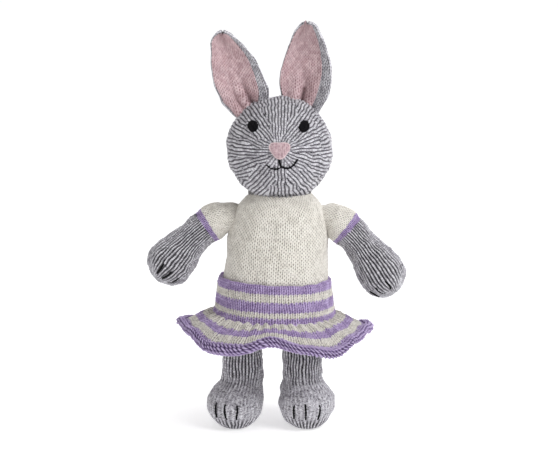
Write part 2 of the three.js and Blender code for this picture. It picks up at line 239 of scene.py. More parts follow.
def tube_form(points, wrap_rows=False):
    """A closed form from rings of points, (rows, columns, 3). Each end has a point in its middle,
    unless the rows wrap round to make a ring."""
    rows, columns = points.shape[:2]
    flat = points.reshape(-1, 3)
    quads = grid_quads(rows, columns, True)
    first = np.arange(columns)
    last = (rows - 1) * columns + first
    if wrap_rows:
        joint = np.stack([last, np.roll(last, -1), np.roll(first, -1), first], axis=-1)
        return Form(flat, np.vstack([quads, joint]))
    hubs = np.stack([points[0].mean(0), points[-1].mean(0)])
    low = fan(first[::-1], len(flat))
    high = fan(last, len(flat) + 1)
    return Form(np.vstack([flat, hubs]), quads, np.vstack([low, high]))


def to_object(name, form, material):
    mesh = bpy.data.meshes.new(name)
    quads, triangles = form.quads, form.triangles
    mesh.vertices.add(len(form.points))
    mesh.vertices.foreach_set("co", (form.points * MM).astype(np.float32).ravel())
    corners = np.concatenate([quads.ravel(), triangles.ravel()])
    triangle_starts = len(quads) * 4 + np.arange(len(triangles)) * 3
    starts = np.concatenate([np.arange(len(quads)) * 4, triangle_starts])
    mesh.loops.add(len(corners))
    mesh.loops.foreach_set("vertex_index", corners.astype(np.int32))
    mesh.polygons.add(len(starts))
    mesh.polygons.foreach_set("loop_start", starts.astype(np.int32))
    mesh.polygons.foreach_set("use_smooth", np.ones(len(starts), bool))
    mesh.update(calc_edges=True)
    mesh.validate()
    for key, values in form.values.items():
        attribute = mesh.attributes.new(key, "FLOAT", "POINT")
        attribute.data.foreach_set("value", np.asarray(values, np.float32).ravel())
    mesh.materials.append(material)
    return shown(name, mesh)


# ---------- knitting
class Yarn(NamedTuple):
    """How a knitted fabric looks close up, in shares of a stitch: where a stitch's two legs stand
    apart at its foot and its top, how thick they are, and how far they rise in millimetres. The
    bridge is the yarn seen between two wales, the pits are the small holes of a flat knit, sunk
    and so darkened with painted shade, and the reach is a stitch's length."""

    foot: float
    top: float
    radius: float
    rise: float
    bridge: float
    pits: float = 0.0
    reach: float = 1.3


MARL = Yarn(foot=0.08, top=0.2, radius=0.21, rise=1.3, bridge=0.5)
CORD = Yarn(foot=0.06, top=0.15, radius=0.175, rise=1.6, bridge=0.4)
OPEN = Yarn(foot=0.13, top=0.32, radius=0.215, rise=1.1, bridge=0.6, pits=1.0)
SOFT = Yarn(foot=0.15, top=0.33, radius=0.25, rise=0.8, bridge=0.75, pits=1.0, reach=1.5)
FINE = Yarn(foot=0.15, top=0.33, radius=0.25, rise=0.5, bridge=0.8, pits=0.8, reach=1.7)


def stockinette(yarn, wale_at, course_at):
    """The height of the stitches from 0 to 1, and the wale and course that each point belongs to.
    A wale is a column of stitches and a course is a row. Each stitch is a V of two legs."""
    wale = np.floor(wale_at)
    course = np.floor(course_at)
    across = wale_at - wale - 0.5
    along = course_at - course
    height = np.zeros_like(wale_at)
    own_wale, own_course = wale.copy(), course.copy()
    for back in (0, 1):
        share = (along + back) / yarn.reach
        arch = np.sin(math.pi * np.clip(share, 0, 1)) ** 0.45
        stand = yarn.foot + (yarn.top - yarn.foot) * share
        for side, shift in ((-1, 0), (1, 0), (1, -1), (-1, 1)):
            away = (across - shift - side * stand) / yarn.radius
            leg = np.sqrt(np.clip(1 - away * away, 0, 1)) * arch
            higher = leg > height
            height = np.where(higher, leg, height)
            own_wale = np.where(higher, wale + shift, own_wale)
            own_course = np.where(higher, course - back, own_course)
    gap = np.abs(np.abs(across) - 0.5) < 0.2
    bridge = yarn.bridge * np.clip(1 - ((along - 0.35) / 0.3) ** 2, 0, 1)
    height = np.where(gap, np.maximum(height, bridge), height)
    # Each small hole sinks the height, so it also takes the painted shade of the gaps.
    dots = np.clip(np.cos(FULL_TURN * wale_at) * np.cos(FULL_TURN * course_at), 0, 1)
    return height * (1 - yarn.pits * dots ** 1.3), own_wale, own_course


def knit(form, yarn, wale_at, course_at, seed, strength=1.0, wander=0.12, stripes=None):
    """Raises stitches on a form. stripes(course) gives a colour share, from 0 to 1, for a course."""
    points = form.points
    wale_at = wale_at + wander * lumps(points, 16, seed) + 0.4 * wander * lumps(points, 5, seed + 1)
    course_at = course_at + wander * lumps(points, 19, seed + 2)
    height, wale, course = stockinette(yarn, wale_at, course_at)
    uneven = 0.8 + 0.4 * scatter(wale, course, np.full_like(wale, seed))
    height = np.clip(height * uneven, 0, 1.15)
    form.raised((height - 0.6) * yarn.rise * strength)
    # The stitch height is kept for the knit materials, which paint shade into the gaps from it.
    form.values["ridge"] = height
    form.values["tone"] = scatter(course, wale, np.full_like(wale, seed + 5))
    if stripes is not None:
        form.values["stripe"] = stripes(course)


def turned_grid(place, wales, courses, per_wale, per_course):
    """A tube of stitches. place(turn, rise) gives points for a turn of 0 to 1 round the tube and a
    rise of 0 to 1 along it. Gives the form and the wale and course at each of its points."""
    columns, rows = wales * per_wale, courses * per_course + 1
    turn = np.arange(columns) / columns
    rise = np.linspace(0, 1, rows)
    turn, rise = np.meshgrid(turn, rise)
    form = tube_form(place(turn, rise))
    wale_at = np.concatenate([(turn * wales).ravel(), [0, 0]])
    course_at = np.concatenate([(rise * courses).ravel(), [0, courses]])
    return form, wale_at, course_at


# ---------- materials
def srgb(red, green, blue):
    """A linear colour from 8-bit sRGB values."""
    linear = []
    for value in (red, green, blue):
        share = value / 255
        linear.append(share / 12.92 if share <= 0.04045 else ((share + 0.055) / 1.055) ** 2.4)
    return (*linear, 1.0)


class Nodes:
    """A short way to write a material's nodes."""

    def __init__(self, name):
        self.material = bpy.data.materials.new(name)
        self.material.use_nodes = True
        self.tree = self.material.node_tree
        self.shader = self.tree.nodes["Principled BSDF"]
        self.coordinates = self.node("ShaderNodeTexCoord").outputs["Object"]

    def node(self, kind, inputs=None, **settings):
        made = self.tree.nodes.new(kind)
        for key, value in settings.items():
            setattr(made, key, value)
        self.connect(made, inputs or {})
        return made

    def connect(self, node, inputs):
        """Sets a node's inputs: a number or colour on the socket itself, anything else by a link."""
        for key, source in inputs.items():
            if isinstance(source, (int, float, tuple)):
                node.inputs[key].default_value = source
            else:
                self.tree.links.new(source, node.inputs[key])

    def noise(self, scale, detail=3.0, roughness=0.6):
        inputs = {"Vector": self.coordinates, "Scale": scale, "Detail": detail, "Roughness": roughness}
        return self.node("ShaderNodeTexNoise", inputs).outputs["Fac"]

    def value(self, name):
        return self.node("ShaderNodeAttribute", attribute_name=name).outputs["Fac"]

    def ramp(self, source, stops):
        made = self.node("ShaderNodeValToRGB")
        while len(made.color_ramp.elements) < len(stops):
            made.color_ramp.elements.new(0.5)
        for element, (position, color) in zip(made.color_ramp.elements, stops):
            element.position = position
            element.color = color
        self.connect(made, {"Fac": source})
        return made.outputs["Color"]

    def blend(self, share, first, second, mode="MIX"):
        inputs = {"Factor": share, "A": first, "B": second}
        made = self.node("ShaderNodeMix", inputs, data_type="RGBA", blend_type=mode)
        return made.outputs["Result"]

    def sum(self, first, factor, second):
        inputs = {0: first, 1: factor, 2: second}
        return self.node("ShaderNodeMath", inputs, operation="MULTIPLY_ADD").outputs[0]

    def bump(self, height, strength, distance):
        inputs = {"Height": height, "Strength": strength, "Distance": distance}
        made = self.node("ShaderNodeBump", inputs)
        self.connect(self.shader, {"Normal": made.outputs["Normal"]})

    def finish(self, color, roughness, sheen=0.0, glow=0.0):
        self.connect(self.shader, {"Base Color": color, "Roughness": roughness})
        self.connect(self.shader, {"Specular IOR Level": 0.12})
        self.connect(self.shader, {"Sheen Weight": sheen, "Sheen Roughness": 0.5})
        self.connect(self.shader, {"Emission Color": WHITE, "Emission Strength": glow})
        return self.material


# Stops over the stitch height: painted shade deep in the gaps between stitches, lighter towards the
# crests.
def gap_shade_stops(deep, middle, light):
    dark = tuple(mix(a, b, 0.35) for a, b in zip(deep, middle))
    return [(0.0, deep), (0.3, dark), (0.6, middle), (0.95, light)]


def knit_material(name, colors, marl=0.0, second=None, sheen=0.12, uneven=0.75):
    """Yarn with painted shade in the gaps between its stitches, set by the stitch height. A marled
    yarn has dark and light plies, and a second set of colours shows in the stripes."""
    nodes = Nodes(name)
    plies = nodes.noise(1500, 2.0, 0.7)
    fibres = nodes.noise(4200, 3.0, 0.7)
    patches = nodes.noise(45, 2.0)
    ridge = nodes.value("ridge")
    color = nodes.ramp(ridge, gap_shade_stops(*colors))
    if second is not None:
        other = nodes.ramp(ridge, gap_shade_stops(*second))
        color = nodes.blend(nodes.value("stripe"), color, other)
    # What darkens the yarn: its dark plies, each stitch's own tone, worn patches and loose fibres.
    shades = [
        (plies, marl, [(0.44, WHITE), (0.66, (0.32, 0.31, 0.33, 1))]),
        (nodes.value("tone"), uneven, [(0.0, (0.82, 0.82, 0.83, 1)), (1.0, WHITE)]),
        (patches, 0.8 * uneven, [(0.35, (0.9, 0.9, 0.91, 1)), (0.65, WHITE)]),
        (fibres, 0.6 * uneven, [(0.35, (0.8, 0.8, 0.8, 1)), (0.7, WHITE)]),
    ]
    for source, share, stops in shades if marl else shades[1:]:
        color = nodes.blend(share, color, nodes.ramp(source, stops), "MULTIPLY")
    nodes.bump(nodes.sum(plies, 0.6, fibres), 0.5, 0.0003)
    return nodes.finish(color, 0.95, sheen)


def thread_material(name, dark, light, roughness=0.7, scale=2600, sheen=0.1):
    nodes = Nodes(name)
    fibres = nodes.noise(scale, 3.0, 0.7)
    color = nodes.ramp(fibres, [(0.3, dark), (0.75, light)])
    nodes.bump(fibres, 0.5, 0.0002)
    return nodes.finish(color, roughness, sheen)


def fibrefill_material():
    nodes = Nodes("fibrefill")
    tangle = nodes.noise(600, 6.0, 0.8)
    color = nodes.ramp(tangle, [(0.3, srgb(205, 203, 198)), (0.7, srgb(245, 244, 240))])
    nodes.bump(tangle, 0.8, 0.001)
    return nodes.finish(color, 0.9, 0.4)


# Each yarn's colours from deep in the gaps to the crests of the stitches: the deep one is painted
# shade, for the grey partly its own dark plies too.
GREY_YARN = (srgb(12, 11, 14), srgb(172, 169, 176), srgb(242, 241, 246))
CREAM_YARN = (srgb(80, 74, 68), srgb(222, 217, 208), srgb(238, 235, 228))
LILAC_YARN = (srgb(52, 36, 74), srgb(164, 142, 188), srgb(206, 190, 226))
PINK_YARN = (srgb(112, 78, 82), srgb(196, 164, 168), srgb(228, 203, 206))

grey_knit = knit_material("grey_knit", GREY_YARN, marl=0.5)
cream_knit = knit_material("cream_knit", CREAM_YARN, uneven=0.15)
lilac_knit = knit_material("lilac_knit", LILAC_YARN)
striped_knit = knit_material("striped_knit", CREAM_YARN, second=LILAC_YARN, uneven=0.3)
pink_knit = knit_material("pink_knit", PINK_YARN)
fibrefill = fibrefill_material()
black_thread = thread_material("black_thread", srgb(3, 3, 4), srgb(22, 21, 25), sheen=0.0)
pink_thread = thread_material("pink_thread", srgb(172, 138, 146), srgb(226, 206, 210), scale=500)
pale_pink_thread = thread_material("pale_pink_thread", srgb(206, 182, 186), srgb(232, 214, 216))
grey_yarn = thread_material("grey_yarn", srgb(70, 68, 72), srgb(190, 188, 190), 0.9, 1500)


# ---------- pieces and how they move
def place_piece(made, slot, body, *nodes, fill=None):
    """A piece that rides on one body and stands for CAD nodes, which it hides. The slot is not used."""
    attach(made, body)
    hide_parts(*nodes)
    return made


def bend_piece(made, slot, bodies, start, end, *nodes):
    """Bakes a piece's place into its mesh and hides the CAD nodes it stands for. The slot, the bodies
    and the two points are not used.
    """
    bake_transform(made)
    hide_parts(*nodes)
    return made


def surface_of(made):
    bpy.context.view_layer.update()
    return BVHTree.FromObject(made, bpy.context.evaluated_depsgraph_get())


def strand(path, radius, count, twist=2.6):
    """A twisted two-ply thread along a path, with rounded ends."""
    sides, blunt = 8, 0.35
    line = spline(path, count)
    tangent = unit(np.gradient(line, axis=0))
    hint = (0, 1, 0.2) if abs(tangent[:, 1]).mean() < 0.7 else (1, 0, 0.2)
    side = unit(np.cross(tangent, hint))
    up = np.cross(side, tangent)
    along = distance_along(line)
    from_end = np.minimum(along, along[-1] - along) / (radius * 1.2)
    width = radius * np.sqrt(np.clip(1 - (1 - np.clip(from_end, 0, 1)) ** 2, blunt ** 2, 1))
    angle = np.arange(sides) / sides * FULL_TURN
    ply = 1 + 0.16 * np.cos(2 * angle[None, :] - twist * along[:, None] / radius)
    spread = (width[:, None] * ply)[..., None]
    ring = np.cos(angle)[None, :, None] * side[:, None] + np.sin(angle)[None, :, None] * up[:, None]
    return tube_form(line[:, None] + spread * ring)


# ---------- head
HEAD = {"x": 3.9, "z": 243.0, "wide": 44.7, "high": 44.0, "deep": 0.95}
MUZZLE = {"z": 234.0, "out": 3.5, "spread": 17.0, "pads_z": 236.5, "pads_apart": 6.5}
NECK = {"x": 3.9, "z": 222.0, "ball": 30.0}
HEAD_GRID = 150
HEAD_WALE = 2.8
HEAD_COURSE = 2.35
# Which ways the middle of each bundle of wales runs out from the nose, in degrees from straight up.
HEAD_SECTORS = (0, 42, 68, 90, 112, 140, 180, -140, -112, -90, -68, -42)
NOSE_RISE = 0.05  # how far the wales' meeting point stands above the head's middle
FAN_SIZE = 28.0  # at this distance from the nose the wales are at their plain width
FAN_POWER = 0.8  # 1 keeps the wales of a sector parallel, and less lets them fan out


def sphere_grid(count):
    """The points of a ball of radius 1, spread evenly as a cube's six faces, and its faces."""
    edge = np.tan(np.linspace(-math.pi / 4, math.pi / 4, count + 1))
    a, b = np.meshgrid(edge, edge, indexing="ij")
    one = np.ones_like(a)
    faces = [(one, a, b), (-one, b, a), (b, one, a), (a, -one, b), (a, b, one), (b, a, -one)]
    points = np.vstack([np.stack(face, axis=-1).reshape(-1, 3) for face in faces])
    points = unit(points)
    quads = grid_quads(count + 1, count + 1, False)
    quads = np.vstack([quads + a.size * k for k in range(6)])
    # The faces share the points of their edges.
    places = np.round(points * 1e5).astype(np.int64)
    _, first, back = np.unique(places, axis=0, return_index=True, return_inverse=True)
    return points[first], back.reshape(-1)[quads]


def head_radius():
    """The head's distance from its centre by elevation angle, from its neck ball and its dome."""
    low = np.radians(np.arange(0, 60, 2))
    high = np.radians(np.arange(-42, 91, 2))
    radius = np.concatenate([NECK["ball"] * np.sin(low), HEAD["wide"] * np.cos(high)])
    neck_z = NECK["z"] - HEAD["z"] - NECK["ball"] * np.cos(low)
    height = np.concatenate([neck_z, HEAD["high"] * np.sin(high)])
    return np.arctan2(height, radius), np.hypot(radius, height)


def head_base(direction):
    elevation = np.arcsin(np.clip(direction[:, 2], -1, 1))
    side, behind, high = direction.T * np.interp(elevation, *head_radius())
    z = high + HEAD["z"]
    deep = mix(1.0, HEAD["deep"], smooth(205, 235, z))
    near = np.hypot(side, z - MUZZLE["z"]) / MUZZLE["spread"]
    muzzle = MUZZLE["out"] * smooth(0, HEAD["wide"], -behind) * np.exp(-near * near)
    return np.stack([HEAD["x"] + side, behind * deep - muzzle, z], axis=-1)


def make_head():
    direction, quads = sphere_grid(HEAD_GRID)
    form = Form(head_base(direction), quads)
    form.soften(3)
    form.raised(0.7 * lumps(form.points, 30, 11) + 0.3 * lumps(form.points, 12, 12))
    # The wales run out from the nose in sectors, and stay parallel within each sector.
    ahead = -direction[:, 1]
    turn = np.arctan2(direction[:, 0], direction[:, 2] - NOSE_RISE)
    ragged = 0.16 * lumps(form.points, 15, 13)
    middles = np.radians(HEAD_SECTORS)
    apart = turn[:, None] - middles
    apart = np.arctan2(np.sin(apart), np.cos(apart))
    sector = np.argmin(np.abs(apart + ragged[:, None]), axis=1)
    lean = apart[np.arange(len(sector)), sector]
    off = np.sqrt(np.clip(1 - ahead ** 2, 1e-4, 1))
    fanned = FAN_SIZE * (off * HEAD["wide"] / FAN_SIZE) ** FAN_POWER
    across = np.sin(lean) * fanned
    along = np.arctan2(off * np.cos(lean), ahead) * HEAD["wide"]
    # The stitches are flatter on the two pads under the nose, and carry less of the painted shade
    # between them.
    x, y, z = form.points.T
    low = (z - MUZZLE["pads_z"]) * 1.15
    away = np.abs(x - HEAD["x"]) - MUZZLE["pads_apart"]
    muzzle = 1 - 0.5 * (1 - smooth(2.0, 7.0, np.hypot(away, low))) * (y < 0)
    wale_at = across / HEAD_WALE + 0.5 + sector * 40.0
    knit(form, MARL, wale_at, along / HEAD_COURSE, seed=21, strength=muzzle, wander=0.16)
    form.values["ridge"] = np.maximum(form.values["ridge"], 0.9 * (1 - muzzle))
    made = to_object("head", form, grey_knit)
    return place_piece(made, "grey_knit", "head", "head_cover", fill=0.95)


head = make_head()
head_surface = surface_of(head)


# ---------- face
def on_face(x, z, out):
    """The place on the head's front at a given side and height, that much in front of it."""
    hit = head_surface.ray_cast(Vector((x * MM, -1.0, z * MM)), Vector((0.0, 1.0, 0.0)))[0]
    return np.array(hit) / MM - (0.0, out, 0.0)


def stitched_pad(centre, outline, threads, radius):
    """A satin-stitched patch: a low dome inside an outline, laid over with threads side by side.
    outline(turn) gives the place of the edge in each direction from the centre."""
    x0, z0 = centre
    domed = 1.9
    edge = np.array([outline(turn) for turn in np.arange(40) / 40 * FULL_TURN])
    rings = []
    for share in (1.0, 0.92, 0.78, 0.6, 0.4, 0.2):
        dome = domed * math.sqrt(1 - share * share) - 0.35
        rings.append([on_face(x0 + x * share, z0 + z * share, dome) for x, z in edge])
    back = [point + (0.0, 2.0, 0.0) for point in rings[0]]
    forms = [tube_form(np.array([back] + rings))]
    left, right = edge[:, 0].min(), edge[:, 0].max()
    for i in range(threads):
        across = mix(left, right, (i + 0.5) / threads)
        ends = []
        for half in (edge[edge[:, 1] < 0], edge[edge[:, 1] >= 0]):
            half = half[np.argsort(half[:, 0])]
            ends.append(np.interp(across, half[:, 0], half[:, 1]))
        path = []
        for share in np.linspace(-1, 1, 7):
            z = mix(*ends, (share + 1) / 2)
            size = min(1.0, math.hypot(across / max(abs(left), right), share))
            out = domed * math.sqrt(1 - size ** 2) + 0.05
            path.append(on_face(x0 + across, z0 + z, out))
        forms.append(strand(path, radius, count=18))
    return joined(forms)


def make_eye(name):
    middle, half = box_mm(name)
    tilt = 0.075 if middle[0] > HEAD["x"] else 0.0

    def outline(turn):
        x, z = half[0] * 1.08 * math.cos(turn), half[2] * 1.05 * math.sin(turn)
        return x + tilt * z, z

    form = stitched_pad((middle[0], middle[2]), outline, 10, 0.62)
    made = to_object(f"{name}_stitched", form, black_thread)
    place_piece(made, "black_thread", "head", name)


# The nose's edge from the middle of its top, down one side, to the middle of its foot.
NOSE_EDGE = [(0, 0.84), (0.5, 0.84), (0.86, 0.72), (1, 0.4)]
NOSE_EDGE += [(0.88, 0), (0.6, -0.5), (0.34, -0.88), (0, -1)]


def make_nose():
    middle, half = box_mm("nose")
    sides = spline([[side * half[0], up * half[2]] for side, up in NOSE_EDGE], 80)
    edge = np.vstack([sides, (sides * (-1, 1))[::-1]])
    bearings = np.arctan2(edge[:, 1], edge[:, 0])

    def outline(turn):
        return [np.interp(turn, bearings, column, period=FULL_TURN) for column in edge.T]

    x0, z0 = middle[0], middle[2]
    form = stitched_pad((x0, z0), outline, 11, 0.85)
    made = to_object("nose_stitched", form, pink_thread)
    place_piece(made, "pink_thread", "head", "nose")
    path = [on_face(x0 + x, z0 + z, 0.45) for x, z in edge[::6]]
    border = to_object("nose_border", strand(path + path[:1], 0.65, count=120), pale_pink_thread)
    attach(border, "head")


# The mouth's three threads, as side and height.
MOUTH = [
    [(3.2, 241.6), (3.7, 237.8), (4.6, 233.2)],
    [(5.2, 233.2), (2.0, 230.8), (-2.6, 231.2), (-6.9, 234.0)],
    [(4.4, 233.2), (9.0, 231.4), (13.0, 232.0), (16.0, 234.6), (18.9, 238.8)],
]


def make_mouth():
    forms = []
    for line in MOUTH:
        path = [on_face(x, z, 0.15) for x, z in line]
        forms.append(strand(path, 0.85, count=40))
    made = to_object("mouth_stitched", joined(forms), black_thread)
    place_piece(made, "black_thread", "head", "mouth_stitch")


make_eye("right_eye")
make_eye("left_eye")
make_nose()
make_mouth()


# ---------- ears
RIGHT_EAR = [
    (266, -18, 10), (272.5, -21, 15.2), (281, -24.6, 19.2), (291.7, -27.2, 22),
    (302, -30.4, 21.7), (312, -33.2, 20), (322, -36.4, 17.2), (330, -40, 13.6),
    (335.4, -42.2, 10.2), (338.6, -43.0, 7.2), (340.3, -43.4, 4.2), (340.8, -43.5, 1.4),
]
LEFT_EAR = [
    (266, 22, 8), (271.7, 23.4, 12), (278.6, 24.1, 16.2), (289, 25, 19.9),
    (299.5, 25.6, 21.4), (311.7, 26.2, 20.5), (322, 26.5, 17.8), (332.6, 26.8, 14),
    (341.5, 26.6, 10), (345.6, 27, 7), (347.8, 27.1, 4), (348.3, 27.2, 1.4),
]
# How far the pink lining reaches to each edge of an ear, from its foot to its tip.
LINING_LEVELS = (0, 0.12, 0.25, 0.45, 0.7, 0.9, 1)
LINING_EDGES = {
    "right": ((-0.8, -0.86, -0.94, -0.99, -1, -1, -1), (0.3, 0.5, 0.62, 0.68, 0.76, 0.84, 0.9)),
    "left": ((-0.9, -0.94, -0.97, -1, -1, -0.98, -0.9), (0, 0.25, 0.5, 0.65, 0.73, 0.78, 0.85)),
}
EAR_COURSES = 34
EAR_WALES = 30
EAR_BEND = (272, 298)  # two heights on an ear, given to bend_piece


def ear_sheet(stations, across, up, side):
    """The middle of an ear, where across runs from -1 to 1 and up from 0 to 1."""
    z, x, half = at_share(spline(stations, 120), up)
    cupped = -6.5 * across ** 2 * smooth(0.0, 0.4, up)
    # Near the head the ear is pinched: its middle folds back and its edges come forward.
    pinch = 1 - smooth(0.05, 0.54, up)
    fold = across - mix(0.1, 0.45 if side < 0 else -0.2, smooth(0.45, 0.0, up))
    valley = 11.0 * np.exp(-((fold / 0.22) ** 2)) * pinch
    crease = 3.0 * np.cos(fold * 9 + side) * pinch * (1 - across ** 2)
    curl = -2.2 * smooth(0.55, 1.0, up)
    twist = -mix(2.5, 6.0, (side + 1) / 2) * across * smooth(0.05, 0.4, up)
    return np.stack([x + across * half, cupped + valley + crease + curl + twist, z], axis=-1)


def ear_front(stations, across, up, side, base):
    """The way that an ear's sheet faces, towards the front."""
    step = 1e-3
    tangent_across = ear_sheet(stations, across + step, up, side) - base
    tangent_up = ear_sheet(stations, across, np.clip(up + step, 0, 1.0 + step), side)
    tangent_up = tangent_up - ear_sheet(stations, across, np.clip(up + step, 0, 1) - step, side)
    front = unit(np.cross(tangent_up, tangent_across))
    return np.where(front[..., 1:2] > 0, -front, front)


def make_ear(side_name, stations):
    side = -1 if side_name == "right" else 1
    x = stations[1][1]
    # Each part's yarn, material, slot, half thickness and how far forward it lies.
    parts = {
        "back": (SOFT, grey_knit, "grey_knit", 1.9, 0.0),
        "lining": (FINE, pink_knit, "pink_knit", 0.9, 1.6),
    }
    for part, (yarn, material, slot, thickness, forward) in parts.items():
        columns, rows = EAR_WALES * 6, EAR_COURSES * 5 + 1
        turn = np.arange(columns) / columns * FULL_TURN
        turn, up = np.meshgrid(turn, np.linspace(0, 1, rows))
        left, right = -1.0, 1.0
        if part == "lining":
            left, right = (np.interp(up, LINING_LEVELS, edge) for edge in LINING_EDGES[side_name])
        across = mix(left, right, (np.cos(turn) + 1) / 2)
        thick = thickness * np.sign(np.sin(turn)) * np.abs(np.sin(turn)) ** 0.6
        base = ear_sheet(stations, across, up, side)
        front = ear_front(stations, across, up, side, base)
        form = tube_form(base + front * (thick + forward)[..., None])
        form.soften()
        form.raised(0.35 * lumps(form.points, 14, 31 + side))
        wale_at = across * EAR_WALES * 0.26 + (np.sin(turn) > 0) * 60
        wale_at = np.concatenate([wale_at.ravel(), [0, 0]])
        course_at = np.concatenate([(up * EAR_COURSES).ravel(), [0, EAR_COURSES]])
        knit(form, yarn, wale_at, course_at, seed=40 + side * 3, strength=0.8, wander=0.1)
        name = f"{side_name}_ear_{part}"
        bodies = ("head", f"{side_name}_ear")
        made = to_object(f"{name}_knit", form, material)
        bend_piece(made, slot, bodies, (x, 0, EAR_BEND[0]), (x, 0, EAR_BEND[1]), name)


make_ear("right", RIGHT_EAR)
make_ear("left", LEFT_EAR)


# ---------- body
TORSO_DEEP = 0.86
TORSO_STATIONS = [
    (4, 98.6), (20, 98.9), (33, 103), (41, 113), (44.2, 128), (44, 148), (43.2, 167),
    (41.3, 180), (38.8, 189), (34.6, 196.8), (28.5, 203), (26, 205.2), (24.4, 205.4),
    (23.6, 203), (22, 200), (16.5, 195), (8, 191.5),
]


def make_torso():
    profile = spline(TORSO_STATIONS, 400)

    def place(turn, rise):
        radius, z = at_share(profile, rise)
        deep = mix(TORSO_DEEP, 1, smooth(185, 205, z))
        lean = mix(0, NECK["x"], smooth(120, 200, z))
        angle = turn * FULL_TURN
        x = lean + radius * np.sin(angle)
        return np.stack([x, -radius * np.cos(angle) * deep, z], axis=-1)

    form, wale_at, course_at = turned_grid(place, 76, 54, 7, 5)
    form.raised(0.6 * lumps(form.points, 34, 51) + 0.2 * lumps(form.points, 13, 52))
    knit(form, SOFT, wale_at, course_at, seed=55, wander=0.1)
    made = to_object("torso", form, cream_knit)
    place_piece(made, "cream_knit", "torso", "torso_cover", fill=0.85)


make_torso()


# A whip stitch's points, each with its turn from the stitch's middle, its radius and its height.
WHIP_STITCH = ((-0.05, 25.0, 202.6), (0.0, 26.3, 205.0), (0.06, 26.0, 207.6))


def make_neck_seam():
    """Whip stitches round the neck, which pull the head down to the body."""
    centre = box_mm("neck_seam")[0]
    count = 34
    forms = []
    for i in range(count):
        angle = (i + 0.3 * scatter(np.array(i))) / count * FULL_TURN
        path = []
        for turn, radius, z in WHIP_STITCH:
            x = centre[0] + radius * math.sin(angle + turn)
            path.append([x, -radius * math.cos(angle + turn), z])
        forms.append(strand(path, 0.75, count=12))
    made = to_object("neck_whip_stitches", joined(forms), grey_yarn)
    place_piece(made, "grey_knit", "neck", "neck_seam")


make_neck_seam()


# ---------- arms
# Each arm's middle line: its shoulder, two guiding points and its tip, as side, front and height.
ARM_LINES = {
    "right": [(-38.5, 0, 183.5), (-60.5, 0, 184.5), (-84.8, -3, 149.4), (-102.3, -7, 131.5)],
    "left": [(43, 0, 182), (63, 0, 184), (85.5, -3, 142.5), (103.7, -7, 120)],
}
SHOULDER_RADIUS = 14.0
PAW_RADIUS = 20.0
# How far along the arm the sleeve and the lilac band reach, and how far the band laps over.
SLEEVE_START, SLEEVE_END, BAND_END, BAND_LAP = -13.4, 18.2, 22.8, 0.7


class ArmLine:
    """The curved middle line of an arm, which its profile is bent along."""

    def __init__(self, side):
        corners = np.array(ARM_LINES[side], float)
        t = np.linspace(0, 1, 600)[:, None]
        rest = 1 - t
        line = rest ** 3 * corners[0] + 3 * rest ** 2 * t * corners[1]
        self.line = line + 3 * rest * t ** 2 * corners[2] + t ** 3 * corners[3]
        self.along = distance_along(self.line)
        self.length = self.along[-1]
        self.tangent = unit(np.gradient(self.line, axis=0))

    def at(self, values, height):
        return np.stack([np.interp(height, self.along, column) for column in values.T], axis=-1)

    def place(self, side, front, height):
        inside = np.clip(height, 0, self.length)
        tangent = self.at(self.tangent, inside)
        middle = self.at(self.line, inside) + tangent * (height - inside)[..., None]
        ahead = unit(np.array([0.0, -1.0, 0.0]) + tangent * tangent[..., 1:2])
        across = np.cross(ahead, tangent)
        return middle + across * side[..., None] + ahead * front[..., None]


def arm_profile(length):
    """Radius and height along an arm: a shoulder ball, a sleeve that puffs out and a round paw."""
    tip_start = length - PAW_RADIUS * 0.95
    ball = np.radians(np.arange(0, 90, 3))
    tip = np.radians(np.arange(3, 88, 3))
    height = np.linspace(0, tip_start, 80)
    full = mix(SHOULDER_RADIUS, PAW_RADIUS, smooth(34, tip_start, height))
    puffed = 1.6 * np.exp(-(((height - 14) / 9) ** 2)) - 2 * np.exp(-(((height + 4) / 8) ** 2))
    ends = 0.89 * SHOULDER_RADIUS * np.sin(ball), PAW_RADIUS * np.cos(tip)
    radius = np.concatenate([ends[0], full + puffed, ends[1]])
    tip_height = mix(tip_start, length, np.sin(tip))
    height = np.concatenate([-SHOULDER_RADIUS * np.cos(ball), height, tip_height])
    return np.stack([radius, height], axis=1)


def arm_part(line, start, end, wales, courses, per_course):
    """The form of an arm between two heights along it."""
    profile = arm_profile(line.length)
    along = distance_along(profile)
    first = np.interp(start, profile[:, 1], along)
    last = np.interp(end, profile[:, 1], along)

    def place(turn, rise):
        at = mix(first, last, rise)
        radius = np.interp(at, along, profile[:, 0])
        height = np.interp(at, along, profile[:, 1])
        angle = turn * FULL_TURN
        return line.place(radius * np.sin(angle), radius * np.cos(angle), height)

    return turned_grid(place, wales, courses, 7, per_course)


